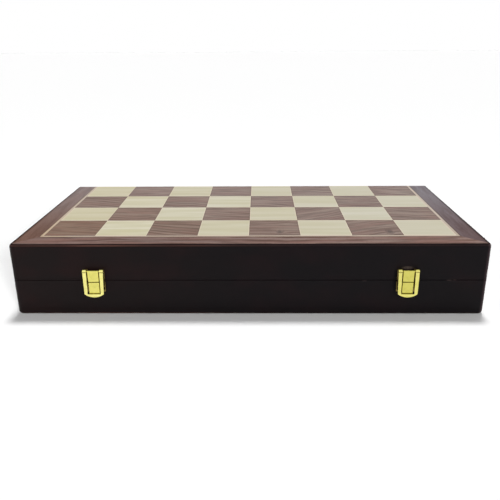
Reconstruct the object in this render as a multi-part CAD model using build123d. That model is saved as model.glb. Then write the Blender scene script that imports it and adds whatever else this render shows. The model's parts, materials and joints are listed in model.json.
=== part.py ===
from build123d import *
import os
from math import cos, radians, sin

# A folding chess box, closed. Two shallow trays are hinged together at the back, and the outer face of
# each one is half of the board, so that the box laid open and turned over is the whole board.
# The origin is the middle of the box's bottom face. X runs along the front, Y to the back and Z up.
# All sizes are in millimetres.

# Playing surface: squares, a thin light line round three sides, and a border outside it
square = 44.3
columns = 8
rows = 4
inlay_width = 2.5
border_width = 20.3

# One half of the wooden case
wall_height = 26.3
wall_thickness = 10.0
panel_thickness = 5.0
veneer_thickness = 0.6
rim_gap = 0.2
edge_radius = 3.0
corner_radius = 4.5
rim_chamfer = 0.4
felt_thickness = 1.0
felt_clearance = 0.5

# Hinges, let into the rims of the two back walls, each one measured from the nearer end of the box
hinge_inset = 80.0
hinge_length = 38.0
knuckle_count = 5
knuckle_radius = 2.2
hinge_pin_radius = 0.9
leaf_thickness = 1.0
leaf_depth = 8.5
fold_gap = 0.3
knuckle_gap = 0.15
groove_clearance = 0.25
mortise_clearance = 0.1

# Hinge screws, countersunk
screws_per_leaf = 3
screw_spacing = 12.5
screw_setback = 5.2
screw_length = 9.0
screw_radius = 1.0
screw_head_radius = 1.8
screw_head_depth = 0.8
screw_slot_width = 0.5
screw_slot_depth = 0.35
screw_sink = 0.05

# Latches on the front, each one measured from the nearer end of the box to its middle. They were put
# on by eye, so the right one is a little nearer to its end than the left one.
left_latch_inset = 70.0
right_latch_inset = 67.5
plate_width = 17.4
plate_height = 10.0
plate_thickness = 0.8
plate_gap = 0.6
plate_corner_radius = 0.8
boss_width = 9.5
boss_rise = 4.6
boss_edge_radius = 0.6
flap_width = 17.4
flap_foot_width = 16.4
flap_thickness = 1.0
flap_edge_radius = 0.4
flap_corner_radius = 1.2
window_side_clearance = 0.75
window_end_clearance = 0.3
lip_height = 2.9
barrel_radius = 1.7
latch_pin_radius = 0.55
latch_pin_rise = 3.1
latch_pin_drop = 1.0
flap_lift = 3.8

# Latch nails, with round heads
nail_radius = 0.5
nail_length = 8.0
nail_head_radius = 1.2
nail_head_height = 0.6

# Fits shared by pins, screws and nails
running_clearance = 0.05
fastener_clearance = 0.03

# Sizes that follow from those above
length = columns * square + 2 * (inlay_width + border_width)
depth = rows * square + inlay_width + border_width
left = -length / 2
right = length / 2
front = -depth / 2
back = depth / 2
panel_bottom = veneer_thickness
wall_bottom = panel_bottom + panel_thickness
rim = wall_bottom + wall_height
parting = rim + rim_gap / 2
hinge_axis_y = back + fold_gap / 2
knuckle_pitch = hinge_length / knuckle_count
catch_top = parting - plate_gap / 2
catch_bottom = catch_top - plate_height
lid_plate_bottom = parting + plate_gap / 2
lid_plate_top = lid_plate_bottom + plate_height
latch_pin_z = lid_plate_top - latch_pin_drop
window_width = boss_width + 2 * window_side_clearance
window_bottom = catch_bottom - window_end_clearance
nail_offset = (boss_width + plate_width) / 4
sides_in_order = ("front", "right", "back", "left")
latch_places = {"left": left + left_latch_inset, "right": right - right_latch_inset}
hinge_places = {"left": left + hinge_inset, "right": right - hinge_inset}


def prism(points, bottom, height):
    """A flat polygon at the given height, raised into a solid."""
    return extrude(Pos(0, 0, bottom) * Polygon(*points, align=None), height, dir=(0, 0, 1))


def block(x_range, y_range, z_range):
    """A box between two values on each axis."""
    size = [high - low for low, high in (x_range, y_range, z_range)]
    middle = [(low + high) / 2 for low, high in (x_range, y_range, z_range)]
    return Pos(*middle) * Box(*size)


def rod(radius, x_start, x_end, y, z):
    """A round bar along X."""
    return Pos((x_start + x_end) / 2, y, z) * Rot(0, 90, 0) * Cylinder(radius, x_end - x_start)


def lid_copy(shape):
    """The same piece on the lid: the base's piece mirrored in the parting plane."""
    return shape.mirror(Plane.XY.offset(parting))


def save(name, *solids):
    """One file for each sub-part, with its separate solids."""
    shape = solids[0] if len(solids) == 1 else Compound(children=list(solids))
    export_step(shape, f"parts/{name}.step")


def case_outside():
    """The rounded outside of the base, to which its walls, panel and border are trimmed."""
    outside = block((left, right), (front, back), (0, rim))
    outside = fillet(outside.edges().filter_by(Axis.Z).group_by(Axis.Y)[0], corner_radius)
    underside = outside.faces().sort_by(Axis.Z)[0].edges().sort_by(Axis.Y)[:-1]
    outside = fillet(underside, edge_radius)
    return chamfer(outside.faces().sort_by(Axis.Z)[-1].edges(), rim_chamfer)


def corners(inset, back_inset):
    """The case's four corners seen from above, drawn in, from the front left one anticlockwise."""
    low_x, high_x = left + inset, right - inset
    low_y, high_y = front + inset, back - back_inset
    return [(low_x, low_y), (high_x, low_y), (high_x, high_y), (low_x, high_y)]


def side_outline(side, outer, inner):
    """One side of a frame between its outer and inner corners, with both ends mitred."""
    start = sides_in_order.index(side)
    end = (start + 1) % len(sides_in_order)
    return [outer[start], outer[end], inner[end], inner[start]]


def make_walls(outside):
    """Four mitred walls, drilled for the latch nails and cut for the hinges."""
    outer = corners(0, 0)
    inner = corners(wall_thickness, wall_thickness)
    walls = {}
    for side in sides_in_order:
        walls[side] = prism(side_outline(side, outer, inner), wall_bottom, wall_height) & outside
    for x in latch_places.values():
        for hole in nails(x, catch_bottom, fastener_clearance):
            walls["front"] -= hole
    for x in hinge_places.values():
        walls["back"] -= hinge_seat(x)
    return walls


def make_veneer(outside):
    """Three border strips and three inlay strips, mitred in front and cut square at the fold."""
    edge = corners(0, 0)
    border_end = corners(border_width, 0)
    inlay_end = corners(border_width + inlay_width, 0)
    borders = {}
    inlay = []
    for side in ("front", "left", "right"):
        borders[side] = prism(side_outline(side, edge, border_end), 0, veneer_thickness) & outside
        inlay.append(prism(side_outline(side, border_end, inlay_end), 0, veneer_thickness))
    return borders, inlay


def make_squares(remainder):
    """The squares whose column and row, counted from the front left, add up to that remainder by two."""
    squares = []
    for column in range(columns):
        for row in range(rows):
            if (column + row) % 2 == remainder:
                x = (column - columns / 2) * square
                y = front + border_width + inlay_width + row * square
                squares.append(block((x, x + square), (y, y + square), (0, veneer_thickness)))
    return squares


def make_felt():
    """A sheet of felt that covers the tray's floor between the walls."""
    inset = wall_thickness + felt_clearance
    floor = wall_bottom, wall_bottom + felt_thickness
    return block((left + inset, right - inset), (front + inset, back - inset), floor)


def screw_places(x):
    """The screws of one leaf, in a row along it."""
    first = x - screw_spacing * (screws_per_leaf - 1) / 2
    return [first + screw_spacing * number for number in range(screws_per_leaf)]


def screw(x, clearance=0.0):
    """A countersunk screw that stands in the base's rim, or its hole where there is a clearance."""
    y = hinge_axis_y - screw_setback
    top = rim - screw_sink
    neck = top - screw_head_depth
    tip = top - screw_length - clearance
    cone = Cone(screw_radius + clearance, screw_head_radius + clearance, screw_head_depth)
    solid = Pos(x, y, (top + neck) / 2) * cone
    solid += Pos(x, y, (neck + tip) / 2) * Cylinder(screw_radius + clearance, neck - tip)
    if clearance:
        mouth = Cylinder(screw_head_radius + clearance, 2 * screw_sink)
        return solid + Pos(x, y, rim) * mouth
    half_slot = screw_slot_width / 2
    slot_ends = y - screw_head_radius, y + screw_head_radius
    return solid - block((x - half_slot, x + half_slot), slot_ends, (top - screw_slot_depth, rim))


def hinge_seat(x):
    """What a hinge needs cut away in the back wall: a groove, a mortise and screw holes."""
    start = x - hinge_length / 2 - mortise_clearance
    end = x + hinge_length / 2 + mortise_clearance
    inner = hinge_axis_y - leaf_depth - mortise_clearance
    groove = rod(knuckle_radius + groove_clearance, start, end, hinge_axis_y, parting)
    mortise = block((start, end), (inner, hinge_axis_y), (rim - leaf_thickness, parting))
    seat = groove + mortise
    for place in screw_places(x):
        seat += screw(place, fastener_clearance)
    return seat


def leaf(x, first_knuckle):
    """A hinge leaf in the base's rim, with every second knuckle from the first one named."""
    start, end = x - hinge_length / 2, x + hinge_length / 2
    leaf_width = hinge_axis_y - leaf_depth, hinge_axis_y
    plate = block((start, end), leaf_width, (rim - leaf_thickness, rim))
    for number in range(knuckle_count):
        low = start + number * knuckle_pitch
        high = low + knuckle_pitch
        if number % 2 == first_knuckle:
            low += knuckle_gap / 2 if number > 0 else 0
            high -= knuckle_gap / 2 if number < knuckle_count - 1 else 0
            plate += rod(knuckle_radius, low, high, hinge_axis_y, parting)
        else:
            reach = knuckle_radius + groove_clearance
            plate -= rod(reach, low - knuckle_gap / 2, high + knuckle_gap / 2, hinge_axis_y, parting)
    plate -= rod(hinge_pin_radius + running_clearance, start, end, hinge_axis_y, parting)
    for place in screw_places(x):
        plate -= screw(place, fastener_clearance)
    return plate


def upright_plane(x, z, rise):
    """A plane that stands on the front wall or before it, with its normal pointing out of the box."""
    return Plane(origin=(x, front - rise, z), x_dir=(1, 0, 0), z_dir=(0, -1, 0))


def nails(x, plate_bottom, clearance=0.0):
    """The two nails of a latch plate, or their holes where there is a clearance."""
    shank = Cylinder(nail_radius + clearance, nail_length + plate_thickness)
    nail = Pos(0, 0, (plate_thickness - nail_length) / 2) * shank
    if not clearance:
        ball_radius = (nail_head_radius**2 + nail_head_height**2) / (2 * nail_head_height)
        crown = plate_thickness + nail_head_height
        ball = Pos(0, 0, crown - ball_radius) * Sphere(ball_radius)
        nail += ball & Pos(0, 0, crown) * Cylinder(nail_head_radius, 2 * nail_head_height)
    z = plate_bottom + plate_height / 2
    return [upright_plane(x + side * nail_offset, z, 0) * nail for side in (-1, 1)]


def latch_plate(x, bottom):
    """A pressed plate: a flange on each side and a raised, open-ended boss between them."""
    half_plate = plate_width / 2
    half_boss = boss_width / 2
    half_hollow = half_boss - plate_thickness
    height = bottom, bottom + plate_height
    flange = block((x - half_plate, x + half_plate), (front - plate_thickness, front), height)
    flange = fillet(flange.edges().filter_by(Axis.Y), plate_corner_radius)
    boss = block((x - half_boss, x + half_boss), (front - boss_rise, front), height)
    boss = fillet(boss.faces().sort_by(Axis.Y)[0].edges(), boss_edge_radius)
    hollow_front = front - boss_rise + plate_thickness
    plate = flange + boss - block((x - half_hollow, x + half_hollow), (hollow_front, front), height)
    for hole in nails(x, bottom, fastener_clearance):
        plate -= hole
    return plate


def latch_rod(x, radius, width):
    """A round bar on the latch pin's axis, of the given width about a place."""
    return rod(radius, x - width / 2, x + width / 2, front - latch_pin_rise, latch_pin_z)


def latch_flap(x):
    """A U-shaped frame with a rounded lip, rolled round the pin at the top of both rails.

    It is made hanging straight down and then lifted to where it stands in the box at rest.
    """
    half_top = flap_width / 2
    half_foot = flap_foot_width / 2
    foot = window_bottom - latch_pin_z
    lip = ThreePointArc((-half_foot, foot), (0, foot - lip_height), (half_foot, foot))
    rest_of_outline = Polyline((half_foot, foot), (half_top, 0), (-half_top, 0), (-half_foot, foot))
    outline = make_face([lip, *rest_of_outline.edges()])
    outline = fillet(outline.vertices().group_by(Axis.Y)[0], flap_corner_radius)
    window = Pos(0, foot / 2) * Rectangle(window_width, -foot)
    face = upright_plane(x, latch_pin_z, latch_pin_rise + barrel_radius - flap_thickness)
    sheet = extrude(face * (outline - window), flap_thickness)
    front_edges = sheet.faces().sort_by(Axis.Y)[0].edges()
    below_pin = [edge for edge in front_edges if edge.center().Z < latch_pin_z - barrel_radius / 2]
    sheet = fillet(below_pin, flap_edge_radius)
    sheet += latch_rod(x, barrel_radius, flap_width) - latch_rod(x, barrel_radius, window_width)
    sheet -= latch_rod(x, latch_pin_radius + running_clearance, flap_width)
    return sheet.rotate(Axis((x, front - latch_pin_rise, latch_pin_z), (-1, 0, 0)), flap_lift)


def save_case():
    """Walls, panels, veneer and felt of the base, and of the lid as its mirror image."""
    outside = case_outside()
    walls = make_walls(outside)
    panel = block((left, right), (front, back), (panel_bottom, wall_bottom)) & outside
    borders, inlay = make_veneer(outside)
    for side, wall in walls.items():
        save(f"base_{side}_wall", wall)
        save(f"lid_{side}_wall", lid_copy(wall))
    save("base_panel", panel)
    save("lid_panel", lid_copy(panel))
    for side, border in borders.items():
        save(f"base_border_{side}", border)
        save(f"lid_border_{side}", lid_copy(border))
    save("base_inlay_line", *inlay)
    save("lid_inlay_line", *[lid_copy(strip) for strip in inlay])
    # The colours change over at the fold, so the lid's corner square is dark and the base's is light.
    save("base_dark_squares", *make_squares(1))
    save("base_light_squares", *make_squares(0))
    save("lid_dark_squares", *[lid_copy(piece) for piece in make_squares(0)])
    save("lid_light_squares", *[lid_copy(piece) for piece in make_squares(1)])
    save("base_felt_lining", make_felt())
    save("lid_felt_lining", lid_copy(make_felt()))


def save_hinges():
    """Two butt hinges with their pins, and all their screws."""
    screws = []
    for side, x in hinge_places.items():
        start, end = x - hinge_length / 2, x + hinge_length / 2
        save(f"hinge_{side}_base_leaf", leaf(x, 0))
        save(f"hinge_{side}_lid_leaf", lid_copy(leaf(x, 1)))
        save(f"hinge_{side}_pin", rod(hinge_pin_radius, start, end, hinge_axis_y, parting))
        screws += [screw(place) for place in screw_places(x)]
    save("hinge_base_screws", *screws)
    save("hinge_lid_screws", *[lid_copy(piece) for piece in screws])


def save_latches():
    """Two latches: a plate on each half, a flap on its pin, and their nails."""
    base_nails = []
    lid_nails = []
    for side, x in latch_places.items():
        pin_hole = latch_rod(x, latch_pin_radius + running_clearance, plate_width)
        save(f"latch_{side}_catch_plate", latch_plate(x, catch_bottom))
        save(f"latch_{side}_lid_plate", latch_plate(x, lid_plate_bottom) - pin_hole)
        save(f"latch_{side}_pin", latch_rod(x, latch_pin_radius, flap_width))
        save(f"latch_{side}_flap", latch_flap(x))
        base_nails += nails(x, catch_bottom)
        lid_nails += nails(x, lid_plate_bottom)
    save("latch_base_nails", *base_nails)
    save("latch_lid_nails", *lid_nails)


def bar_clearance():
    """How far the lifted flap's bar stands in front of the catch, which lets the lid open."""
    reach = latch_pin_z - window_bottom
    offset = barrel_radius - flap_thickness
    lift = radians(flap_lift)
    return latch_pin_rise + offset * cos(lift) + reach * sin(lift) - boss_rise


os.makedirs("parts", exist_ok=True)
save_case()
save_hinges()
save_latches()
print(f"Box {length:.1f} x {depth:.1f} x {2 * parting:.1f} mm, bar clearance {bar_clearance():.2f} mm")
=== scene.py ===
# %% [markdown]
# # A folding chess box, closed
#
# The object is a shallow wooden case in two halves, hinged at the back and held by two brass latches in
# front. The outer face of each half is half of a chess board. This file dresses the measured model: it
# leaves nearly every part where it is, gives each one a finish, and makes anew only the pieces that need
# a finer shape, which are the pressed brass of the latches and the felt in the trays.

# %% The measured model
import json
from math import cos, pi, radians, sin

import bpy
import numpy as np
from mathutils import Matrix, Vector

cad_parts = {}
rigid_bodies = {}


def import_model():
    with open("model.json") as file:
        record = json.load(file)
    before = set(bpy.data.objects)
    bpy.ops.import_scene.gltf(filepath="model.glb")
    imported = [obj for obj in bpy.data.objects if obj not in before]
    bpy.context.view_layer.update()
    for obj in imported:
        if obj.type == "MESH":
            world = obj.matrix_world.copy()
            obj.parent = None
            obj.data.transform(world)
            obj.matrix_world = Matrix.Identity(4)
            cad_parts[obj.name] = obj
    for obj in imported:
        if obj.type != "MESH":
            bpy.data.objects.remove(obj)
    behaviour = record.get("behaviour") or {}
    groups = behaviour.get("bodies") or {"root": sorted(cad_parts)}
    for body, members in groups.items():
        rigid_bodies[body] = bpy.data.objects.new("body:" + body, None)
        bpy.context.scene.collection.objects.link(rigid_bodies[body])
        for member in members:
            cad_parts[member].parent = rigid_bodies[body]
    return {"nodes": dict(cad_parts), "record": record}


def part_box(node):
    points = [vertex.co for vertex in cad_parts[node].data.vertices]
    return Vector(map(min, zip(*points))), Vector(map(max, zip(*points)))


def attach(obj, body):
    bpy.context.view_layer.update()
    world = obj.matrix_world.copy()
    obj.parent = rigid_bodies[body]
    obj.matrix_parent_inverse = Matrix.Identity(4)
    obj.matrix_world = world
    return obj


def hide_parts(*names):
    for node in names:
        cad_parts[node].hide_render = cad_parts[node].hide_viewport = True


for leftover in list(bpy.data.objects):
    bpy.data.objects.remove(leftover)
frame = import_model()
bpy.context.view_layer.update()

# %% [markdown]
# ## Sizes read from the model
#
# Lengths are in metres, as in the model, so a millimetre gets a name of its own. What the finishes need
# to know could be typed in again, but it is safer to read it from the model's own parts: where the
# playing field begins, how large a square is, and where the two halves part. Only the radii of the
# rounded edges, and later some sizes of the latches, can't be read from a box and are repeated.

# %% Sizes of the case
mm = 0.001
case_low, case_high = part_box("base_panel")
case_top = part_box("lid_border_front")[1].z
parting = (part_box("base_front_wall")[1].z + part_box("lid_front_wall")[0].z) / 2
field_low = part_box("lid_inlay_line")[0]
squares_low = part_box("lid_dark_squares")[0]
square = (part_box("lid_dark_squares")[1].x - squares_low.x) / 8
corner_radius = 4.5 * mm
edge_radius = 3.0 * mm
print("square", round(square / mm, 2), "mm, parting at", round(parting / mm, 2), "mm")

# %% [markdown]
# ## The camera
#
# The photograph was taken from in front of the box and above it, a little right of its middle. The view
# could be found by turning the camera until it looks right, but here place, direction and focal length
# were fitted to the corners of the squares and to the edges of the case, which is exact and gives the
# box's proportions too. A camera looks down its own negative Z axis, so its three axes are put together
# as the columns of a matrix: right, up, and backwards.

# %% Camera
camera_place = Vector((8.8 * mm, -545.6 * mm, 221.5 * mm))
camera_pitch = radians(20.03)
camera_yaw = radians(-0.98)
camera_roll = radians(-0.41)
focal_length = 41.41
sensor_width = 36.0


def aimed(place, pitch, yaw, roll):
    """A camera's matrix: it looks along +Y turned right by the yaw and down by the pitch, then rolls."""
    ahead = Vector((sin(yaw) * cos(pitch), cos(yaw) * cos(pitch), -sin(pitch)))
    right = Vector((cos(yaw), -sin(yaw), 0))
    up = right.cross(ahead)
    rolled_right = right * cos(roll) + up * sin(roll)
    rolled_up = up * cos(roll) - right * sin(roll)
    turn = Matrix((rolled_right, rolled_up, -ahead)).transposed().to_4x4()
    return Matrix.Translation(place) @ turn


lens = bpy.data.cameras.new("camera")
lens.lens = focal_length
lens.sensor_width = sensor_width
camera = bpy.data.objects.new("camera", lens)
camera.matrix_world = aimed(camera_place, camera_pitch, camera_yaw, camera_roll)
bpy.context.collection.objects.link(camera)
bpy.context.scene.camera = camera
bpy.context.scene.view_settings.view_transform = "Standard"
print("camera at", [round(value, 3) for value in camera.location])

# %% [markdown]
# ## Shader sums as plain sums
#
# A finish could be a picture wrapped round the part, but a network of nodes has no seams, stays sharp
# close by, and gives each square a pattern of its own. Written out node by node it is hard to read, so a
# `Tone` stands for one output of the network, and `+`, `-`, `*` and `/` on it add the Math node that does
# that sum. A `Recipe` holds the network, and its `node` method adds every other kind of node: its
# settings are given first and its sockets second.


# %% Tones and recipes
class Tone:
    """A value that changes over a surface: one output of a recipe's network.

    Its fraction is what it has above the whole number below it, and its size has no sign.
    """

    def __init__(self, recipe, socket):
        self.recipe = recipe
        self.socket = socket

    def math(self, operation, *values):
        """The outcome of a Math node that is fed the values in their order."""
        return self.recipe.node("Math", {"operation": operation}, dict(enumerate(values)))

    def __add__(self, other):
        return self.math("ADD", self, other)

    def __radd__(self, other):
        return self.math("ADD", other, self)

    def __sub__(self, other):
        return self.math("SUBTRACT", self, other)

    def __rsub__(self, other):
        return self.math("SUBTRACT", other, self)

    def __mul__(self, other):
        return self.math("MULTIPLY", self, other)

    def __rmul__(self, other):
        return self.math("MULTIPLY", other, self)

    def __truediv__(self, other):
        return self.math("DIVIDE", self, other)

    def floor(self):
        return self.math("FLOOR", self)

    def fraction(self):
        return self.math("FRACT", self)

    def size(self):
        return self.math("ABSOLUTE", self)

    def root(self):
        return self.math("SQRT", self)

    def larger(self, other):
        return self.math("MAXIMUM", self, other)

    def smaller(self, other):
        return self.math("MINIMUM", self, other)

    def above(self, other):
        """1 where this value is greater than the other one, and 0 elsewhere."""
        return self.math("GREATER_THAN", self, other)

    def ramp(self, low, high):
        """0 up to the low value, 1 from the high one on, and a soft step between them."""
        sockets = {"Value": self, "From Min": low, "From Max": high}
        return self.recipe.node("MapRange", {"interpolation_type": "SMOOTHSTEP"}, sockets)


class Recipe:
    """A network of nodes, with one method that adds a node of any kind."""

    def __init__(self, tree):
        self.tree = tree

    def node(self, kind, settings=None, sockets=None, output=0):
        """Adds a node, sets its settings, feeds its sockets, and gives back one of its outputs."""
        made = self.tree.nodes.new("ShaderNode" + kind)
        for setting, value in (settings or {}).items():
            setattr(made, setting, value)
        for socket, value in (sockets or {}).items():
            self.feed(made.inputs[socket], value)
        return Tone(self, made.outputs[output])

    def feed(self, socket, value):
        """Links a tone to the socket, or puts a plain value into it."""
        if isinstance(value, Tone):
            self.tree.links.new(value.socket, socket)
        else:
            socket.default_value = value

    def place(self):
        """The three coordinates of a point of the piece, in metres."""
        return self.parts(self.node("TexCoord", output="Object"))

    def parts(self, vector):
        """The three numbers of a vector or colour, each as a tone."""
        split = self.node("SeparateXYZ", sockets={0: vector}).socket.node
        return [Tone(self, socket) for socket in split.outputs]

    def point(self, x, y, z):
        """One vector from three tones or numbers."""
        return self.node("CombineXYZ", sockets={0: x, 1: y, 2: z})

    def noise(self, x, y, z, detail=2.0, roughness=0.5):
        """Soft noise about 0.5, whose patches are about one unit wide."""
        sockets = {"Vector": self.point(x, y, z), "Scale": 1.0, "Detail": detail, "Roughness": roughness}
        return self.node("TexNoise", sockets=sockets)

    def mix(self, share, first, second):
        """The first colour where the share is 0, and the second one where it is 1."""
        return self.node("Mix", {"data_type": "RGBA"}, {0: share, 6: first, 7: second}, output=2)

    def bump(self, height, distance, strength):
        """A normal tilted as if the surface rose by the distance where the height is 1."""
        return self.node("Bump", sockets={"Height": height, "Distance": distance, "Strength": strength})


# %% [markdown]
# A material here has two kinds of socket. What is the same everywhere is set straight on the shader, and
# only what changes over the surface comes from the network. Colours are written as they look in a
# picture, from 0 to 255, because that is how they were compared with the photograph.


# %% Finishes and colours
def finish(name, constants, painted):
    """A material: constants go straight to the shader's sockets, and painted gives what changes."""
    material = bpy.data.materials.new(name)
    material.use_nodes = True
    recipe = Recipe(material.node_tree)
    shader = material.node_tree.nodes["Principled BSDF"]
    for socket, value in constants.items():
        shader.inputs[socket].default_value = value
    for socket, value in painted(recipe).items():
        recipe.feed(shader.inputs[socket], value)
    print("finish", name, "has", len(material.node_tree.nodes), "nodes")
    return material


def colour(red, green, blue):
    """A picture's colour in the linear values of a shader.

    Each value is divided by 255. A dark share is divided by 12.92 too, and any other one is shifted by
    0.055, divided by 1.055 and raised to the power of 2.4.
    """
    shares = [value / 255 for value in (red, green, blue)]
    return tuple(s / 12.92 if s <= 0.04045 else ((s + 0.055) / 1.055) ** 2.4 for s in shares) + (1.0,)


print("a middle grey of 128 is", round(colour(128, 128, 128)[0], 3), "in a shader")

# %% [markdown]
# ## Where the lacquer ends
#
# The case is lacquered after the veneer is laid, and the lacquer stops in a crisp line near where the top
# begins to round over. Seen from above, that line is a rectangle with rounded corners, 2.0 mm inside the
# case in front and 3.1 mm at the sides. It could be a seam in the mesh, but a distance worked out from
# the place needs no new edges. Take how far the point lies past the straight sides in X and in Y, join
# the two by the root of their squares where both are past, and take away the corner's radius.

# %% Distance past the rounded outline
lacquer_inset = {"X": 2.0 * mm, "Y": 3.1 * mm}


def past_outline(recipe, x, y, inset, radius):
    """How far a point lies outside the case's outline drawn in by the inset; negative inside it."""
    side = x.size() - (case_high.x - inset - radius)
    front = (case_low.y + inset + radius) - y
    corner = (side.larger(0.0) * side.larger(0.0) + front.larger(0.0) * front.larger(0.0)).root()
    return corner + side.larger(front).smaller(0.0) - radius


print("the lacquer stops", round(lacquer_inset["X"] / mm, 1), "mm in from the front edge")

# %% [markdown]
# ## Lacquer
#
# The walls are sprayed a brown so dark that it looks black, with a soft gloss. One dark colour would do
# from far away, but close by the eye finds where the lacquer is thin and the wood's red shows through, in
# a few cloudy patches. The left end is warmer, which is a painted sheen. The right corner is redder, which
# is a painted highlight, and so is a narrow band along the rounded edges, mostly left of the middle. So
# the colour is mixed from masks for these places.

# %% Sprayed lacquer
deep_lacquer = (colour(18, 15, 17), colour(24, 16, 18))
# The warmer colours used at the left end are a painted sheen, as from a light at the upper left.
left_sheen_lacquer = (colour(25, 19, 19), colour(32, 20, 20))
# The redder colour round the right corner is a painted highlight.
corner_highlight_lacquer = colour(50, 34, 38)
# A painted highlight along the rounded edges: its colour, and where it begins and ends up the round.
edge_highlight_brown = colour(78, 52, 46)
highlight_begins = (0.7 * mm, 1.5 * mm)
highlight_ends = (2.0 * mm, 2.5 * mm)


def sprayed(recipe, x, y, z):
    """Nearly black and cloudy, with a painted sheen at the left and painted highlights at the edges."""
    cloud = recipe.noise(x * 22, y * 22, z * 34, detail=3).ramp(0.42, 0.72)
    warm = recipe.mix(cloud, *left_sheen_lacquer)
    deep = recipe.mix(cloud, *deep_lacquer)
    # Warmer towards the left end: a painted sheen.
    body = recipe.mix(x.ramp(-200 * mm, 50 * mm), warm, deep)
    # Round the right corner: a painted highlight, as from a light at the right.
    corner = (x - case_high.x + corner_radius).ramp(0.2 * mm, 2.5 * mm)
    corner_highlighted = recipe.mix(corner * 0.7, body, corner_highlight_lacquer)
    # A narrow painted highlight along the rounded edges, mostly left of the middle.
    up_the_round = (z - parting).size() - (case_top - parting - edge_radius)
    highlight_band = up_the_round.ramp(*highlight_begins) * (1 - up_the_round.ramp(*highlight_ends))
    patches = recipe.noise(x * 14, y * 14, 2.0, detail=2).ramp(0.35, 0.60)
    on_the_left = 1 - x.ramp(-120 * mm, 20 * mm) * 0.85
    return recipe.mix(highlight_band * (0.35 + patches * 0.65) * on_the_left, corner_highlighted, edge_highlight_brown)


# How far up the rounded edges the painted highlight reaches.
print("the lacquer is thin up to", round(highlight_ends[1] / mm, 1), "mm up the rounded edges")

# %% [markdown]
# Two kinds of mark show on the front. The rims are chipped where the halves meet, most at three places
# right of the middle, and the wall just above the right flap has a paler speckled oval. Dents in the mesh
# would be too small to see, so each place is a soft mask between the lacquer and a paler brown.

# %% Worn lacquer
chipped_wood = colour(66, 56, 55)
# A paler brown for the speckled oval above the right flap.
oval_brown = colour(92, 80, 73)
front_span = (-99 * mm, -90 * mm)
rim_reach = (0.35 * mm, 0.9 * mm)
# Each worn place: right of the middle, above the parting, half its width, and how deep the wear goes.
worn_places = (
    (97.0 * mm, -0.6 * mm, 2.4 * mm, 0.45),
    (167.6 * mm, -0.1 * mm, 2.6 * mm, 0.85),
    (172.3 * mm, 0.0 * mm, 1.8 * mm, 0.65),
)
oval_place = (132.1 * mm, 43.1 * mm)
oval_reach = (6.0 * mm, 2.0 * mm)


def chips_along_rim(recipe, x, y, z, in_front):
    """1 where the rims have lost their lacquer: at random along the parting, and at the worn places."""
    near_rim = 1 - (z - parting).size().ramp(*rim_reach)
    chips = recipe.noise(x * 55, y * 55, z * 200, detail=3).ramp(0.66, 0.70) * near_rim
    for middle, raised, reach, depth in worn_places:
        beside = 1 - (x - middle).size().ramp(reach * 0.3, reach)
        upright = 1 - (z - parting - raised).size().ramp(*rim_reach)
        chips = chips.larger(beside * upright * in_front * depth)
    return chips


def pale_oval_above_flap(recipe, x, y, z, in_front):
    """A speckled paler oval: the distances from its middle over its reach, squared, summed and rooted."""
    aside = (x - oval_place[0]) / oval_reach[0]
    above = (z - oval_place[1]) / oval_reach[1]
    oval_mask = 1 - (aside * aside + above * above).root().ramp(0.3, 1.0)
    speckles = recipe.noise(x * 700, y * 700, z * 2500, detail=2).ramp(0.35, 0.6)
    return oval_mask * in_front * (0.4 + speckles * 0.6)


def lacquer_colour(recipe, x, y, z):
    """The sprayed colour, chipped along the rims, with a paler oval above the right flap."""
    in_front = 1 - y.ramp(*front_span)
    chips = chips_along_rim(recipe, x, y, z, in_front)
    chipped = recipe.mix(chips * 0.7, sprayed(recipe, x, y, z), chipped_wood)
    return recipe.mix(pale_oval_above_flap(recipe, x, y, z, in_front) * 0.8, chipped, oval_brown)


print(len(worn_places), "worn places, at", [round(place[0] / mm) for place in worn_places], "mm")

# %% [markdown]
# The grain has sunk into the lacquer and leaves only a faint long ripple in it. Cut into the mesh, that
# would need far too many faces, so it is a bump, which tilts the light and leaves the shape as it is.

# %% Lacquer
lacquer_relief = 0.03 * mm


def lacquer_grain(recipe, x, y, z):
    """A faint ripple along the walls, and the slight waviness of a sprayed surface."""
    grain = recipe.noise(x * 60, y * 60, z * 900, detail=2)
    waves = recipe.noise(x * 120, y * 120, z * 120, detail=1)
    return grain * 0.6 + waves


def lacquer(recipe):
    """The walls' and panels' finish: its colour, a gloss that varies a little, and the ripple."""
    x, y, z = recipe.place()
    return {
        "Base Color": lacquer_colour(recipe, x, y, z),
        "Roughness": 0.30 + recipe.noise(x * 30, y * 30, z * 30) * 0.14,
        "Normal": recipe.bump(lacquer_grain(recipe, x, y, z), lacquer_relief, 0.5),
    }


lacquered_wood = finish("lacquered_wood", {"Specular IOR Level": 0.07}, lacquer)

# %% [markdown]
# ## Walnut
#
# A veneer leaf is a slice nearly along the growth rings, so they show as long wandering lines that close
# into ovals and points. Stretched noise alone gives streaks but no rings, so the rings come from a phase:
# the distance across the grain times the rings in a metre, plus slow noise times the leaf's wander. Its
# fraction climbs from 0 to 1 over one ring, and a ramp of that darkens each ring slowly to a soft dark
# line. Bands of the leaf's three colours go with it, which are its ground, a redder brown and a dark one,
# and fine streaks and short open pores go on top. A knot pushes the rings further, and is dark itself.

# %% Walnut
rings_in_a_metre = 130
pore_brown = colour(64, 46, 40)
knot_brown = colour(54, 44, 42)


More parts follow.
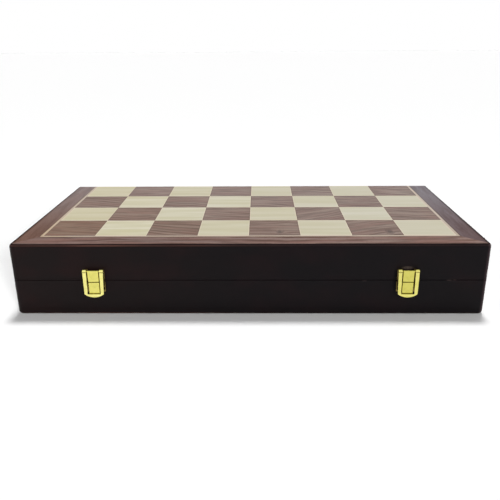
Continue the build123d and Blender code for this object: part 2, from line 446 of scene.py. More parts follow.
def walnut(recipe, along, across, seed, colours, wander, knot=None):
    """Colour and height of a walnut leaf, from the distances along and across its grain in metres."""
    ground, red, dark = colours
    slow = recipe.noise(along * 15, across * 26, seed, detail=2)
    quick = recipe.noise(along * 42, across * 160, seed + 3.0, detail=2)
    phase = across * rings_in_a_metre + slow * wander + quick * 0.5
    if knot is not None:
        phase = phase + knot * 2.2
    ring = phase.fraction()
    late = ring.ramp(0.40, 0.85) - ring.ramp(0.86, 1.0)
    contrast = recipe.noise(along * 13, across * 40, seed + 9.0, detail=1).ramp(0.35, 0.65)
    bands = recipe.noise(along * 16, across * 170, seed + 5.0, detail=3).ramp(0.35, 0.65)
    shadows = recipe.noise(along * 28, across * 250, seed + 7.0, detail=2).ramp(0.50, 0.64)
    banded = recipe.mix(shadows * 0.55, recipe.mix(bands, ground, red), dark)
    lined = recipe.mix(late * (0.12 + contrast * 0.75), banded, dark)
    streaks = recipe.noise(along * 45, across * 1300, seed, detail=2).ramp(0.35, 0.75)
    streaked = recipe.mix(streaks * 0.30, lined, dark)
    pores = recipe.noise(along * 260, across * 5200, seed, detail=1).ramp(0.60, 0.70)
    pored = recipe.mix(pores * 0.45, streaked, pore_brown)
    if knot is not None:
        pored = recipe.mix(knot * 0.7, pored, knot_brown)
    return pored, late * 0.4 - pores


print("walnut has a ring every", round(1000 / rings_in_a_metre, 1), "mm")

# %% [markdown]
# ## The squares
#
# Each square is a leaf of its own and needs its own piece of the pattern. Sixteen pieces with sixteen
# materials would do it, but the material can find the square by itself: the place divided by the size of
# a square and rounded down is its column and row. White noise turns those two and the half of the box
# into three other numbers, different for each square and the same at every run. They shift the pattern,
# tilt its grain, and make one leaf greyer than the next. At the joints glue has soaked into the edges.

# %% Where a point is on the board
end_soak = 0.9 * mm
long_soak = 1.9 * mm


def square_of(recipe, x, y, z):
    """The column, row and half that a point is in, and three random numbers for its square."""
    column = (x / square).floor()
    row = ((y - squares_low.y) / square).floor()
    half = z.above(parting)
    named = recipe.point(column + 0.5, row + 0.5, half * 9 + 0.5)
    noise = recipe.node("TexWhiteNoise", {"noise_dimensions": "3D"}, {"Vector": named}, output="Color")
    return column, row, half, recipe.parts(noise)


def edge_mask(recipe, x, y):
    """1 along the joint between two squares, fading inwards over the width of the soaked edge.

    Glue creeps further in along the long edges, which run with the grain.
    """
    from_side = (0.5 - ((x / square).fraction() - 0.5).size()) * (square / end_soak)
    from_front = (0.5 - (((y - squares_low.y) / square).fraction() - 0.5).size()) * (square / long_soak)
    return 1 - from_side.smaller(from_front).ramp(0.3, 1.0)


print("glue has soaked in", round(end_soak / mm, 1), "and", round(long_soak / mm, 1), "mm")

# %% [markdown]
# The walnut squares go from warm at the front left to grey at the right and at the back, which is a
# painted sheen, so each of the three colours is mixed from a warm and a grey one by the square's place.
# Two leaves of the lid's front row were cut beside a small knot, each with a place and a width of its own.
# Glue has darkened the edges.

# %% Walnut squares
veneer_constants = {"Specular IOR Level": 0.12}
warm_walnut = (colour(128, 103, 84), colour(120, 86, 68), colour(82, 56, 38))
# The grey colours are a painted sheen, strongest to the right and to the back.
sheen_grey_walnut = (colour(149, 135, 127), colour(135, 112, 106), colour(92, 76, 72))
glued_walnut = colour(78, 58, 48)
walnut_relief = 0.03 * mm
# How far the painted sheen greys a square in each row, and at the right.
sheen_in_a_row = 0.24
sheen_to_the_right = 0.6
square_wander = 3.0
# Each knot: the column of its square, how far right of its middle in squares, and its width.
knots = ((0, 0.11, 4.5 * mm), (2, 0.27, 5.0 * mm))
knot_forward = 0.28
knot_length = 1.7


def knots_beside(recipe, x, y, along, across, column, row, half, shift):
    """1 in the middle of each knot, falling to 0 at the edge of an oval that soft noise has frayed."""
    front_row = (row.size() * -1).above(-0.5) * half
    ripple = (recipe.noise(x * 300, y * 300, shift * 9) - 0.5) * 6 * mm
    knot = 0.0
    for number, aside, width in knots:
        chosen = 1 - (column - number).size().above(0.5)
        knot_x = (along - aside * square + ripple) / width
        knot_y = (across + knot_forward * square + ripple) / (knot_length * width)
        spot = 1 - (knot_x * knot_x + knot_y * knot_y).root().ramp(0.1, 1.0)
        knot = knot + spot * chosen * front_row
    return knot


def walnut_square(recipe):
    """A walnut leaf per square, greyed by a painted sheen to the right and back, with its grain tilted."""
    x, y, z = recipe.place()
    column, row, half, (shift, tilt, shade) = square_of(recipe, x, y, z)
    to_right = ((column + 0.5) * square + shade * 40 * mm).ramp(-200 * mm, 100 * mm)
    # Greyer to the right and to the back: a painted sheen.
    sheen_share = 1 - (1 - row * sheen_in_a_row) * (1 - to_right * sheen_to_the_right)
    colours = [recipe.mix(sheen_share, warm, grey) for warm, grey in zip(warm_walnut, sheen_grey_walnut)]
    along = x - (column + 0.5) * square
    across = y - squares_low.y - (row + 0.5) * square
    knot = knots_beside(recipe, x, y, along, across, column, row, half, shift)
    tilted = across + along * (tilt - 0.5) * (tilt - 0.5).size() * 2.0
    start, side = along + shift * 3, tilted + tilt * 2
    leaf, height = walnut(recipe, start, side, shift * 40, colours, square_wander, knot)
    return {
        "Base Color": recipe.mix(edge_mask(recipe, x, y) * 0.65, leaf, glued_walnut),
        "Roughness": 0.50 + height * 0.06,
        "Normal": recipe.bump(height, walnut_relief, 0.6),
    }


walnut_squares = finish("walnut_squares", veneer_constants, walnut_square)

# %% [markdown]
# Maple is pale and nearly even, with fine straight grain, so bands and streaks of stretched noise are
# enough for it and rings would be too much. Its squares are greyer to the right and to the back, which is
# a painted sheen, and those of the leftmost column are yellower and darker. Glue leaves their edges paler
# and a little pink.

# %% Maple squares
pale_maple = (colour(215, 210, 191), colour(195, 189, 152))
streak_maple = colour(184, 174, 142)
fleck_maple = colour(170, 152, 118)
# The grey that the squares turn towards the right and the back is a painted sheen.
sheen_grey_maple = colour(190, 187, 174)
yellow_maple = colour(190, 181, 150)
glued_maple = colour(226, 208, 188)
maple_relief = 0.02 * mm


def maple_colour(recipe, along, across, seed):
    """Pale wood with fine straight grain: faint bands, a finer streak, and short flecks."""
    bands = recipe.noise(along * 9, across * 110, seed, detail=2).ramp(0.3, 0.7)
    fine = recipe.noise(along * 30, across * 1500, seed, detail=2).ramp(0.3, 0.75)
    flecks = recipe.noise(along * 500, across * 4000, seed, detail=1).ramp(0.62, 0.72)
    streaked = recipe.mix(fine * 0.32, recipe.mix(bands, *pale_maple), streak_maple)
    return recipe.mix(flecks * 0.15, streaked, fleck_maple), fine


def maple_square(recipe):
    """A maple leaf per square, greyed by a painted sheen to the right and back, and yellower at the left
    end.
    """
    x, y, z = recipe.place()
    column, row, half, (shift, tilt, shade) = square_of(recipe, x, y, z)
    middle_x = (column + 0.5) * square
    across = y + x * (tilt - 0.5) * 0.08
    leaf, fine = maple_colour(recipe, x + shift * 3, across + tilt * 2, shift * 40)
    # Greyer to the right and to the back: a painted sheen.
    sheen_share = (middle_x + row * 25 * mm + shade * 60 * mm).ramp(-170 * mm, 250 * mm)
    toned = recipe.mix(sheen_share * 0.6, leaf, sheen_grey_maple)
    at_left_end = 1 - middle_x.ramp(-160 * mm, -110 * mm)
    shaded = recipe.mix((tilt * 0.4).larger(at_left_end * 0.6), toned, yellow_maple)
    return {
        "Base Color": recipe.mix(edge_mask(recipe, x, y) * 0.6, shaded, glued_maple),
        "Roughness": 0.48 + fine * 0.05,
        "Normal": recipe.bump(fine, maple_relief, 0.4),
    }


maple_squares = finish("maple_squares", veneer_constants, maple_square)

# %% [markdown]
# ## The border
#
# The border's strips are long walnut leaves, mitred at the corners, with the grain along them and no
# gloss. The colour of each runs from its first end to its last, lighter and greyer towards the back and
# the right, which is a painted sheen, and the right strip's bluish tone is a painted reflection. The glued
# joint beside the thin line is dark. Along the outer edge a strip is rounded and lacquered with the panel
# below it. That could be a second mesh, but one finish can change over to lacquer at the outline worked
# out above. A little of the lacquer has crept in over the veneer, most on the side strips near the front.

# %% Border
crept_width = 2.5 * mm
border_width = field_low.x - case_low.x
joint_width = (0.3 * mm, 1.2 * mm)
leaf_dark = colour(78, 56, 50)
joint_brown = colour(84, 62, 52)
crept_brown = colour(60, 44, 42)
figure_depth = {"X": 0.85, "Y": 0.35}
strip_wander = 1.6


def border(along_axis, seed, first, last, red):
    """The recipe of a border strip along X or Y: walnut inside the lacquer's outline, lacquer outside."""

    def painted(recipe):
        """Walnut and lacquer by the strip's own axis."""
        x, y, z = recipe.place()
        along, across = (x, y) if along_axis == "X" else (y, x)
        half = z.above(parting)
        # From the first end to the last: lighter and greyer at the last, a painted sheen.
        ground = recipe.mix(along.ramp(-100 * mm, 100 * mm), first, last)
        depth = figure_depth[along_axis]
        colours = (ground, recipe.mix(depth, ground, red), recipe.mix(depth, ground, leaf_dark))
        side = across * 0.8 + half * 0.3
        leaf, height = walnut(recipe, along, side, half * 7 + seed, colours, strip_wander)
        from_line = past_outline(recipe, x, y, border_width, 0.0)
        jointed = recipe.mix((1 - from_line.ramp(*joint_width)) * 0.5, leaf, joint_brown)
        inset = lacquer_inset[along_axis]
        lacquered = past_outline(recipe, x, y, inset, corner_radius - inset)
        crept_share = 0.2 if along_axis == "X" else 0.55 - y.ramp(-90 * mm, 30 * mm) * 0.45
        crept = lacquered.ramp(-crept_width, 0.0) * crept_share
        darkened = recipe.mix(crept, jointed, crept_brown)
        mask = lacquered.ramp(-0.05 * mm, 0.10 * mm)
        relief = height * (1 - mask) + lacquer_grain(recipe, x, y, z) * mask
        return {
            "Base Color": recipe.mix(mask, darkened, lacquer_colour(recipe, x, y, z)),
            "Roughness": 0.50 + height * 0.06 + mask * 0.40,
            "Normal": recipe.bump(relief, lacquer_relief, 0.5),
        }

    return painted


# Each strip: the axis of its grain, its seed, its first and last end, and its redder brown.
# The lighter, greyer last ends are a painted sheen, and the right strip's bluish colours a painted
# reflection.
strips = {
    "front": ("X", 1.0, colour(136, 117, 111), colour(151, 131, 123), colour(139, 106, 97)),
    "left": ("Y", 4.0, colour(115, 87, 75), colour(147, 134, 132), colour(136, 110, 102)),
    "right": ("Y", 8.0, colour(106, 88, 88), colour(139, 134, 139), colour(130, 119, 123)),
}
border_finish = {}
for side, strip in strips.items():
    border_finish[side] = finish(f"walnut_border_{side}", {"Specular IOR Level": 0.0}, border(*strip))

# %% [markdown]
# ## The thin line
#
# A line of maple is let in between the squares and the border. It is darker and pinker than the squares,
# golden near the front left corner, and paler towards the back, most on the right. Its front strip is a
# little lighter. One colour would do for most of it, but the golden corner stands nearest to the viewer.

# %% Line
pink_line = colour(170, 150, 136)
golden_line = colour(176, 148, 116)
pale_line = colour(202, 188, 181)
front_line = colour(206, 186, 172)
line_seed = 5.0


def inlay(recipe):
    """Maple along whichever strip a point is in, stained by where it is on the board."""
    x, y, z = recipe.place()
    in_front = (x.size() * -1).above(-4 * square)
    along = x * in_front + y * (1 - in_front)
    across = y * in_front + x * (1 - in_front)
    leaf, fine = maple_colour(recipe, along, across, line_seed)
    golden = (1 - x.ramp(-170 * mm, -140 * mm)) * (1 - y.ramp(-60 * mm, 50 * mm))
    stained = recipe.mix(golden, pink_line, golden_line)
    pale = y.ramp(-80 * mm, 0.0) * (0.25 + x.ramp(0.0, 100 * mm) * 0.35)
    paled = recipe.mix(pale, stained, pale_line)
    toned = recipe.mix(in_front * 0.3, paled, front_line)
    return {"Base Color": recipe.mix(0.8, leaf, toned), "Roughness": 0.48 + fine * 0.05}


maple_line = finish("maple_line", veneer_constants, inlay)

# %% [markdown]
# ## Brass
#
# The latches are thin sheet brass, pressed and polished to a pale lemon gold. One even gold would look
# new: polish leaves fine scratches and slightly duller patches. The right latch is painted duller than the
# left one, which is painted shade, and the plates are a darker copy of the flaps' brass, a painted shade
# for their dimmer reflections. A plate's flanges and nails lie deep, and so does the crease below each
# barrel of a flap; both are painted brown as shade. So one recipe makes three finishes, each with a
# function that says where that painted shade lies.

# %% Brass
pin_low, pin_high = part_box("latch_left_pin")
crease_drop = 0.5 * mm
crease_level = (pin_low.z + pin_high.z) / 2 - crease_drop
crease_spread = (0.05 * mm, 0.55 * mm)
front_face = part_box("base_front_wall")[0].y
plate_spread = (front_face - 4.0 * mm, front_face - 2.0 * mm)
# A brown painted as shade in the crease below the barrels and where a plate lies deep.
shade_brown = (0.20, 0.15, 0.05, 1.0)
# The plates' shades are a darker copy of the flaps', a painted shade for their dimmer reflections.
plate_shades_painted_darker = ((0.76, 0.70, 0.18, 1.0), (0.60, 0.55, 0.12, 1.0))
flap_shades = ((0.88, 0.82, 0.28, 1.0), (0.72, 0.66, 0.18, 1.0))
scratch_relief = 0.01 * mm


def nowhere(y, z):
    """No painted shade at all."""
    return 0.0


def in_the_crease(y, z):
    """Painted shade along the crease below the barrels, fading out half a millimetre above and below it.
    """
    return (1 - (z - crease_level).size().ramp(*crease_spread)) * 0.6


def deep_on_a_plate(y, z):
    """Painted shade close to the wall, fading out towards the raised middle of a plate."""
    return y.ramp(*plate_spread)


def brass(shades, shaded_at):
    """The recipe of a brass between a bright and a dull shade, with painted shade where a function says
    so.
    """

    def painted(recipe):
        """Dull patches, a painted shade on the right latch, scratches, and painted shade in the hollows.
        """
        x, y, z = recipe.place()
        patches = recipe.noise(x * 260, y * 260, z * 260, detail=3).ramp(0.40, 0.75)
        # The patches are dull at random; the right latch is painted duller, which is painted shade.
        dull_patches_and_shade = (patches * 0.4 + x.ramp(-130 * mm, 130 * mm) * 0.75).smaller(1.0)
        scratches = recipe.noise(x * 4000, y * 4000, z * 500, detail=1)
        return {
            "Base Color": recipe.mix(shaded_at(y, z), recipe.mix(dull_patches_and_shade, *shades), shade_brown),
            "Roughness": 0.17 + patches * 0.10,
            "Normal": recipe.bump(scratches + patches, scratch_relief, 0.25),
        }

    return painted


polished_brass = finish("polished_brass", {"Metallic": 1.0}, brass(flap_shades, nowhere))
flap_brass = finish("flap_brass", {"Metallic": 1.0}, brass(flap_shades, in_the_crease))
pressed_brass = finish("pressed_brass", {"Metallic": 1.0}, brass(plate_shades_painted_darker, deep_on_a_plate))

# %% [markdown]
# ## Felt
#
# Felt is matted wool. Hair by hair it would need millions of faces, so it is clumps and fibres of noise
# at two sizes, in the colour and as a bump. It has hardly any gloss, and its fibres catch light at a low
# angle, which is what the sheen does.

# %% Felt
dark_felt = (0.012, 0.050, 0.028, 1.0)
light_felt = (0.036, 0.135, 0.075, 1.0)
felt_relief = 0.35 * mm


def felt(recipe):
    """Green wool in clumps of about a millimetre, with finer fibres and a wide soft unevenness."""
    x, y, z = recipe.place()
    clumps = recipe.noise(x * 700, y * 700, z * 700, detail=4, roughness=0.7)
    fibres = recipe.noise(x * 4500, y * 3800, z * 4500, detail=2)
    wide = recipe.noise(x * 25, y * 25, z * 25)
    shade = (clumps * 0.6 + fibres * 0.3 + wide * 0.25).ramp(0.35, 0.85)
    return {
        "Base Color": recipe.mix(shade, dark_felt, light_felt),
        "Normal": recipe.bump(clumps + fibres, felt_relief, 0.7),
    }


felt_constants = {
    "Roughness": 0.95,
    "Specular IOR Level": 0.15,
    "Sheen Weight": 0.35,
    "Sheen Roughness": 0.5,
}
green_felt = finish("green_felt", felt_constants, felt)

# %% [markdown]
# ## Finishes on the measured parts
#
# The record names a slot for each part, so one table from slots to finishes dresses them all. The
# border's strips are the one case where the slot isn't enough, because each strip has its grain its own
# way round.

# %% Dress the measured parts
finish_of_slot = {
    "lacquered_case": lacquered_wood,
    "lacquered_panel": lacquered_wood,
    "maple_line": maple_line,
    "maple_squares": maple_squares,
    "walnut_squares": walnut_squares,
    "felt": green_felt,
    "brass_screws": polished_brass,
    "brass_hinge": polished_brass,
    "brass_latch": pressed_brass,
}
for part in frame["record"]["subparts"]:
    node = part["node"]
    slot = part["material_slot"]
    chosen = border_finish[node.split("_")[-1]] if slot == "walnut_border" else finish_of_slot[slot]
    frame["nodes"][node].data.materials.clear()
    frame["nodes"][node].data.materials.append(chosen)

# %% [markdown]
# ## Making a piece from a grid of points
#
# Every new piece here is a closed section carried along a path. A bevelled curve could do that too, but
# its section can't change on the way. So the points are a grid, with a row for each step of the path and
# a column for each point round the section. Each cell of the grid is a face, the last column joins on to
# the first, and a flat face closes each end row. If the volume inside all of the faces comes out
# negative, they look inwards and are turned round.


# %% From grid to piece
def volume_inside(points, faces):
    """The volume inside a closed set of faces, negative where they look inwards.

    Each face is cut into triangles about its first corner. Each triangle makes a pyramid with the origin,
    and the pyramid's volume is a sixth of the triple product of the triangle's corners.
    """
    triangles = [(face[0], *pair) for face in faces for pair in zip(face[1:-1], face[2:])]
    first, second, third = np.moveaxis(points[np.array(triangles)], 1, 0)
    return np.einsum("ij,ij->i", first, np.cross(second, third)).sum() / 6


def piece(name, place, material, body, replaced):
    """A closed piece from grids of X, Y and Z: a row for each step, a column for each point round it."""
    points = np.stack(np.broadcast_arrays(*place), axis=-1)
    rows, columns = points.shape[:2]
    number = np.arange(rows * columns).reshape(rows, columns)
    beside = np.roll(number, -1, axis=1)
    quads = np.stack([number[:-1], beside[:-1], beside[1:], number[1:]], axis=-1).reshape(-1, 4)
    flat = points.reshape(-1, 3)
    ends = [number[0][::-1].tolist(), number[-1].tolist()]
    faces = quads.tolist() + ends
    volume = volume_inside(flat, faces)
    if volume < 0:
        faces = [face[::-1] for face in faces]
    mesh = bpy.data.meshes.new(name)
    mesh.from_pydata(flat.tolist(), [], faces)
    smooth = np.ones(len(faces), bool)
    smooth[-2:] = False
    mesh.polygons.foreach_set("use_smooth", smooth)
    mesh.materials.append(material)
    made = bpy.data.objects.new(name, mesh)
    bpy.context.collection.objects.link(made)
    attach(made, body)
    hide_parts(replaced)
    print(name, "has", len(faces), "faces round", round(abs(volume) / mm**3, 1), "cubic mm")
    return made


# %% [markdown]
# ## The latch plates
#
# Each latch has two pressed plates, one on the lid and one on the base. Seen from above, a plate is a
# hat: a flange on each side, and a raised boss between them. A bevelled box would come close, but a press
# can't make a sharp bend, inside or outside, so the hat's line is rounded at its corners first.

# %% A line with rounded corners
quarter_points = 6


def rounded_line(corners, radius, steps):
    """A line through the corners in a plane, each inner corner rounded, with its outward normals.

    Each corner is cut back by the radius times the tangent of half the turn. The normal turns evenly
    from one run's to the next one's, and the point is the arc's centre plus or minus the radius times it.
    """
    corners = np.array(corners, float)
    runs = np.diff(corners, axis=0)
    ways = runs / np.linalg.norm(runs, axis=1)[:, None]
    angles = np.arctan2(ways[:, 1], ways[:, 0])
    points = [corners[:1]]
    headings = [angles[:1]]
    for corner, before, after in zip(corners[1:-1], angles[:-1], angles[1:]):
        turn = (after - before + pi) % (2 * pi) - pi
        start = corner - radius * np.tan(abs(turn) / 2) * np.array([cos(before), sin(before)])
        side = np.sign(turn) * radius
        centre = start + side * np.array([-sin(before), cos(before)])
        heading = before + turn * np.linspace(0, 1, steps)
        points.append(centre + side * np.stack([np.sin(heading), -np.cos(heading)], axis=1))
        headings.append(heading)
    points.append(corners[-1:])
    headings.append(angles[-1:])
    heading = np.concatenate(headings)
    return np.concatenate(points), np.stack([-np.sin(heading), np.cos(heading)], axis=1)


def upright_section(height, thickness, outer_round, inner_round):
    """A rounded rectangle of height and thickness: quarter circles about its four drawn-in corners."""
    quarter = np.linspace(0, pi / 2, quarter_points)
    loops = []
    corners = ((1, 1, outer_round), (-1, 1, outer_round), (-1, -1, inner_round), (1, -1, inner_round))
    for number, (up, out, radius) in enumerate(corners):
        angle = pi / 2 * (1 - number) - quarter
        corner = np.array([up * (height / 2 - radius), out * (thickness / 2 - radius)])
        loops.append(corner + radius * np.stack([np.sin(angle), np.cos(angle)], axis=1))
    return np.concatenate(loops)


print("a section has", len(upright_section(25 * mm, 1 * mm, 0.3 * mm, 0.1 * mm)), "points")

# %% [markdown]
# The section that is carried along the hat's line stands upright, as tall as the plate and as thick as
# the sheet, with the edges towards the viewer rounded more by polishing than those at the back. Near the
# flange's ends the section gets shorter, which rounds the plate's corners.

# %% Latch plates
sheet_thickness = 0.8 * mm
boss_width = 9.5 * mm
bend_radius = 0.45 * mm
bend_steps = 7
plate_corner = 1.0 * mm
corner_steps = np.array([0.0, 0.12, 0.35, 0.65])
polished_round = 0.30 * mm
hidden_round = 0.12 * mm


def latch_plate(name, node, body):
    """A pressed plate in the place of its plain node.

    A flange's corner is a quarter circle. Where a share of its radius is left to the circle's middle,
    each end of the section is cut by the radius times one less the root of one minus the share's square.
    """
    low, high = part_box(node)
    middle_x = (low.x + high.x) / 2
    half_plate = (high.x - low.x) / 2
    seat = sheet_thickness / 2
    half_boss = boss_width / 2 - seat
    rise = front_face - low.y - seat
    hat = [(-half_plate, seat), (-half_boss, seat), (-half_boss, rise)]
    hat += [(half_boss, rise), (half_boss, seat), (half_plate, seat)]
    line, normal = rounded_line(hat, bend_radius, bend_steps)
    near_ends = half_plate - plate_corner * corner_steps
    flange = np.stack([-near_ends, np.full(len(near_ends), seat)], axis=1)
    other = flange[::-1] * [-1, 1]
    up = np.tile([[0.0, 1.0]], (len(near_ends), 1))
    line = np.concatenate([flange, line[1:-1], other])
    normal = np.concatenate([up, normal[1:-1], up])
    section = upright_section(high.z - low.z, sheet_thickness, polished_round, hidden_round)
    inside = np.clip((half_plate - np.abs(line[:, 0])) / plate_corner, 0, 1)
    cut = plate_corner * (1 - np.sqrt(1 - (1 - inside) ** 2))
    height = section[None, :, 0] - np.sign(section[None, :, 0]) * cut[:, None]
    out = section[None, :, 1]
    x = middle_x + line[:, 0, None] + normal[:, 0, None] * out
    y = front_face - line[:, 1, None] - normal[:, 1, None] * out
    z = (low.z + high.z) / 2 + height
    return piece(name, (x, y, z), pressed_brass, body, node)


for side in ("left", "right"):
    latch_plate(f"{side}_catch", f"latch_{side}_catch_plate", "base")
    latch_plate(f"{side}_latch_plate", f"latch_{side}_lid_plate", "lid")

# %% [markdown]
# ## The latch flaps
#
# A flap is cut from sheet as a frame, open at the top, and the ends of its two rails are rolled into
# barrels round the pin. It could be put together from bars and tubes, but the joints would show. It is
# one long strip: out of one roll, down a rail, round the lip at the bottom, up the other rail and into
# the other roll. First come the strip's inner and outer edge in the flat frame, which gets a little
# narrower towards its foot and ends in a shallow rounded lip.

# %% The flat frame
flap_thickness = 1.0 * mm
flap_width = 17.4 * mm
foot_width = 16.4 * mm
window_width = 11.0 * mm
window_corner = 0.4 * mm
lip_height = 2.9 * mm
flap_corner = 1.2 * mm
rail_drops = np.concatenate([np.linspace(0, 0.06, 16), np.linspace(0.1, 1, 9)])
turn_steps = 8
lip_steps = 14


def arc(centre, radius, start, end, steps):
    """Points on a circle: the centre plus the radius times cosine and sine of the angle."""
    angle = np.linspace(start, end, steps)
    return np.stack([centre[0] + radius * np.cos(angle), centre[1] + radius * np.sin(angle)], axis=1)


def inner_edge(foot):
    """The window's left side, its lower left corner, and its lower side up to the middle."""
    end = foot + window_corner
    turn_x = -window_width / 2 + window_corner
    rail = np.stack([np.full(len(rail_drops), -window_width / 2), end * rail_drops], axis=1)
    turn = arc((turn_x, end), window_corner, pi, 1.5 * pi, turn_steps)
    lip = np.stack([np.linspace(turn_x, 0, lip_steps), np.full(lip_steps, foot)], axis=1)
    return np.concatenate([rail, turn[1:], lip[1:]])


def outer_edge(foot):
    """The frame's left side, its lower left corner, and the lip's arc up to the middle.

    The lip is a circle through both ends of the foot and its lowest point. Its radius is half the
    square of the half width over the height, plus half the height. The side is a straight line that
    leans inwards, and the corner between the two is an arc that touches both: its centre lies its own
    radius inside the line, and the lip's radius less its own from the lip's centre.
    """
    half = foot_width / 2
    lip_radius = half**2 / (2 * lip_height) + lip_height / 2
    lip_centre = np.array([0.0, foot - lip_height + lip_radius])
    top = np.array([-flap_width / 2, 0.0])
    lean = np.arctan2((flap_width - foot_width) / 2, -foot)
    down = np.array([np.sin(lean), -np.cos(lean)])
    inwards = np.array([np.cos(lean), np.sin(lean)])
    start = top + flap_corner * inwards - lip_centre
    ahead = -start @ down
    run = ahead + np.sqrt(ahead**2 - start @ start + (lip_radius - flap_corner) ** 2)
    corner = start + run * down
    tangent = 2 * pi + np.arctan2(corner[1], corner[0])
    rail = top + run * rail_drops[:, None] * down
    turn = arc(lip_centre + corner, flap_corner, pi + lean, tangent, turn_steps)
    lip = arc(lip_centre, lip_radius, tangent, 1.5 * pi, lip_steps)
    return np.concatenate([rail, turn[1:], lip[1:]])


print("a frame's edge has", len(inner_edge(-20 * mm)), "points from its top to the middle of its lip")

# %% [markdown]
# Then the strip gets its rolls at the top, and a way to face at each step. The section between the two
# edges is a squarish oval, so that the rails are slightly domed and their edges soft, as polishing leaves
# them. Below each barrel the press leaves a crease, where the front of the oval is flattened.

# %% The rolled strip
barrel_radius = 1.7 * mm
roll_end = radians(305)
roll_steps = 30
oval_power = 0.42
oval_steps = 36


def whole_strip(foot):
    """Both edges and the facing of the whole strip, in width, distance before the pin, and height."""
    inner, outer = inner_edge(foot), outer_edge(foot)
    ahead = barrel_radius - flap_thickness / 2
    angle = np.linspace(roll_end, 0, roll_steps)[:-1]
    roll = np.stack([ahead * np.cos(angle), ahead * np.sin(angle)], axis=1)
    edges = []
    for flat, x in ((inner, -window_width / 2), (outer, -flap_width / 2)):
        rolled = np.column_stack([np.full(len(roll), x), roll])
        hanging = np.column_stack([flat[:, 0], np.full(len(flat), ahead), flat[:, 1]])
        left_half = np.concatenate([rolled, hanging])
        edges.append(np.concatenate([left_half, left_half[-2::-1] * [-1, 1, 1]]))
    facing = np.column_stack([np.zeros(len(roll)), np.cos(angle), np.sin(angle)])
    facing = np.concatenate([facing, np.tile([[0.0, 1.0, 0.0]], (len(inner), 1))])
    facing = np.concatenate([facing, facing[-2::-1]])
    return edges[0], edges[1], facing


def oval(power, steps):
    """A squarish oval: cosine and sine of one angle, each raised to a low power and kept in sign."""
    angle = np.linspace(0, 2 * pi, steps, endpoint=False) + pi / steps
    across, out = np.cos(angle), np.sin(angle)
    return np.sign(across) * np.abs(across) ** power, np.sign(out) * np.abs(out) ** power


print("the strip has", len(whole_strip(-20 * mm)[2]), "steps")

# %% [markdown]
# Last, the strip is hung on its pin and lifted off the wall by the same angle as the measured part. Its
# window ends just below the catch, so that the lip passes under it.

# %% Latch flaps
window_drop = 0.12 * mm
crease_width = 0.28 * mm
crease_depth = 0.7
flap_lift = radians(3.8)


def creased_thickness(middle, out):
    """Half the strip's thickness at each point of the grid.

    At the crease the front is lower by a bell curve: the base of natural logarithms to the power of
    minus the square of the distance from the crease over its width. The back keeps its thickness, and
    so does the part of the roll behind the pin.
    """
    behind_pin = 1.0
    drop = np.where(middle[:, 1] > 0, -middle[:, 2], behind_pin)
    crease = crease_depth * np.exp(-(((drop - crease_drop) / crease_width) ** 2))
    front = np.where(out > 0, 1.0, 0.0)
    return flap_thickness / 2 * (1 - front[None, :] * crease[:, None])


def latch_flap(name, node, pin_node, body):
    """A rolled and domed flap in the place of its plain node."""
    low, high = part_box(pin_node)
    pin = (low + high) / 2
    plate_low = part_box(pin_node.replace("pin", "catch_plate"))[0]
    inner, outer, facing = whole_strip(plate_low.z - window_drop - pin.z)
    across, out = oval(oval_power, oval_steps)
    middle, reach = (inner + outer) / 2, (outer - inner) / 2
    thick = creased_thickness(middle, out)
    points = middle[:, None] + reach[:, None] * across[None, :, None]
    points = points + facing[:, None] * (out[None, :] * thick)[:, :, None]
    x = pin.x + points[..., 0]
    y = pin.y - points[..., 1] * cos(flap_lift) + points[..., 2] * sin(flap_lift)
    z = pin.z + points[..., 2] * cos(flap_lift) + points[..., 1] * sin(flap_lift)
    return piece(name, (x, y, z), flap_brass, body, node)


for side in ("left", "right"):
    latch_flap(f"{side}_flap_frame", f"latch_{side}_flap", f"latch_{side}_pin", f"{side}_flap")

# %% [markdown]
# ## The felt linings
#
# A sheet of felt a millimetre thick is glued to the floor of each tray. It was cut flat and it is laid
# flat, so its flat size is that of the tray's floor less a little room at the walls, and there is nothing
# for a cloth simulation to do. Its upper face isn't quite even: two slow waves of a tenth of a millimetre
# go across it. The flat section is made thinner by them and let down to the floor again, and the cut
# edges are round.

# %% Felt linings
felt_wave = 0.10 * mm
felt_sunk = 0.9 * felt_wave
cut_round = 0.4 * mm
glued_round = 0.02 * mm
edge_margin = 0.5 * mm
points_across = 60
points_along = 120


def felt_wave_at(x, y):
    """From -1 to 1: a sine along the tray times one across it, and half as much of a slanting one."""
    return (np.sin(x * 61 + 1.3) * np.sin(y * 83 + 0.4) + 0.5 * np.sin(x * 143 - y * 97)) / 1.5


def felt_lining(name, node, body, inner_side):
    """A closed sheet in the place of its plain node: a flat section carried along the tray."""
    low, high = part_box(node)
    centre = (low + high) / 2
    thickness = high.z - low.z
    width, length = high.x - low.x, high.y - low.y
    section = upright_section(length, thickness - 2 * felt_wave, cut_round, glued_round)
    top = np.linspace(length / 2 - edge_margin, -length / 2 + edge_margin, points_across)
    upper = np.stack([top, np.full(points_across, thickness / 2 - felt_wave)], axis=1)
    loop = np.concatenate([section[:quarter_points], upper, section[quarter_points:]])
    x = np.linspace(-width / 2, width / 2, points_along)[:, None]
    y, level = loop[None, :, 0], loop[None, :, 1]
    lifted = level + np.where(level > 0, felt_wave * felt_wave_at(x, y), 0)
    place = (centre.x + x, centre.y + y, centre.z + inner_side * (lifted - felt_sunk))
    lining = piece(name, place, green_felt, body, node)
    return lining


felt_lining("base_felt", "base_felt_lining", "base", 1)
felt_lining("lid_felt", "lid_felt_lining", "lid", -1)

# %% [markdown]
# ## Floor and sky
#
# The photograph has a white ground with a soft shadow in front of the box. Enough light to make a floor
# white would wash out the box, so the floor and the sky are pale only to the eye: the Light Path node
# tells a ray that comes from the camera or from a reflection from one that only carries light. The brass
# then mirrors a white room too, and the floor keeps the box's shadow.

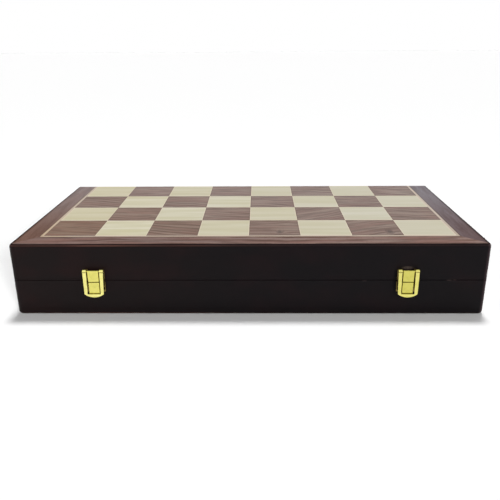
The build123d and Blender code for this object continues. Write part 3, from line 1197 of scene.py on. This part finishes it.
# %% Floor and sky
floor_reach = 12.0
floor_grey = 0.96
floor_glow = 0.04
sky_level = 0.10
black = (0.0, 0.0, 0.0, 1.0)
white = (1.0, 1.0, 1.0, 1.0)


def looked_at(recipe):
    """1 for a ray from the camera, or from a reflection or through glass, and 0 for any other."""
    path = recipe.node("LightPath").socket.node
    rays = [Tone(recipe, path.outputs[f"Is {kind} Ray"]) for kind in ("Camera", "Glossy", "Transmission")]
    return rays[0].larger(rays[1]).larger(rays[2])


def floor_paint(recipe):
    """A faint glow where the floor is looked at, which lifts its lit part to white."""
    return {"Emission Color": recipe.mix(looked_at(recipe), black, (floor_glow,) * 3 + (1.0,))}


floor_constants = {
    "Base Color": (floor_grey, floor_grey, floor_grey, 1.0),
    "Roughness": 1.0,
    "Specular IOR Level": 0.0,
    "Emission Strength": 1.0,
}
ground = bpy.data.meshes.new("floor")
floor_corners = [(x * floor_reach, y * floor_reach, 0) for x, y in ((-1, -1), (1, -1), (1, 1), (-1, 1))]
ground.from_pydata(floor_corners, [], [(0, 1, 2, 3)])
ground.materials.append(finish("pale_floor", floor_constants, floor_paint))
floor = bpy.data.objects.new("floor", ground)
bpy.context.collection.objects.link(floor)

world = bpy.data.worlds.new("sky")
world.use_nodes = True
sky = Recipe(world.node_tree)
background = world.node_tree.nodes["Background"]
sky.feed(background.inputs["Color"], sky.mix(looked_at(sky), (sky_level,) * 3 + (1.0,), white))
bpy.context.scene.world = world
print("the sky lights the box with", sky_level, "and looks white")

# %% [markdown]
# ## Lamps
#
# The shadow lies in front of the box, with a fainter one beyond its left end. So the main light stands
# high behind the box, and a weaker one low in front on the right. A lamp on a stand would light the floor
# unevenly, while a sun with a wide disc is the same everywhere and gives the shadow a soft edge. Only its
# direction matters: how far right, how far back and how high it stands. Two small softboxes put glints
# on the brass. The low sun is hidden from reflections, because in views from behind it would draw a
# bright streak on the lacquer.

# %% Lamps
softbox_size = 0.3
softbox_power = 1.2


def lamp_at(name, data, stands):
    """A lamp object whose data shine from where it stands towards the box's middle."""
    lamp = bpy.data.objects.new(name, data)
    lamp.rotation_mode = "QUATERNION"
    lamp.rotation_quaternion = Vector(stands).to_track_quat("Z", "Y")
    bpy.context.collection.objects.link(lamp)
    print("lamp", name, "stands at", stands)
    return lamp


def sun(name, stands, strength, disc):
    """A sun lamp, with its strength and the width of its disc in degrees."""
    data = bpy.data.lights.new(name, "SUN")
    data.energy = strength
    data.angle = radians(disc)
    return lamp_at(name, data, stands)


def softbox(name, place):
    """A square lamp at a place, in metres."""
    data = bpy.data.lights.new(name, "AREA")
    data.shape = "SQUARE"
    data.size = softbox_size
    data.energy = softbox_power
    lamp = lamp_at(name, data, place)
    lamp.location = place
    return lamp


sun("key", (0.045, 0.27, 1.0), 2.25, 11)
low_sun = sun("front_right", (0.50, -0.866, 0.38), 1.75, 8)
low_sun.visible_glossy = False
softbox("right_side", (1.1, -0.30, 0.35))
softbox("left_side", (-1.1, -0.35, 0.45))

# %% [markdown]
# ## The end
#
# The view layer is updated once more.

# %% The end
bpy.context.view_layer.update()
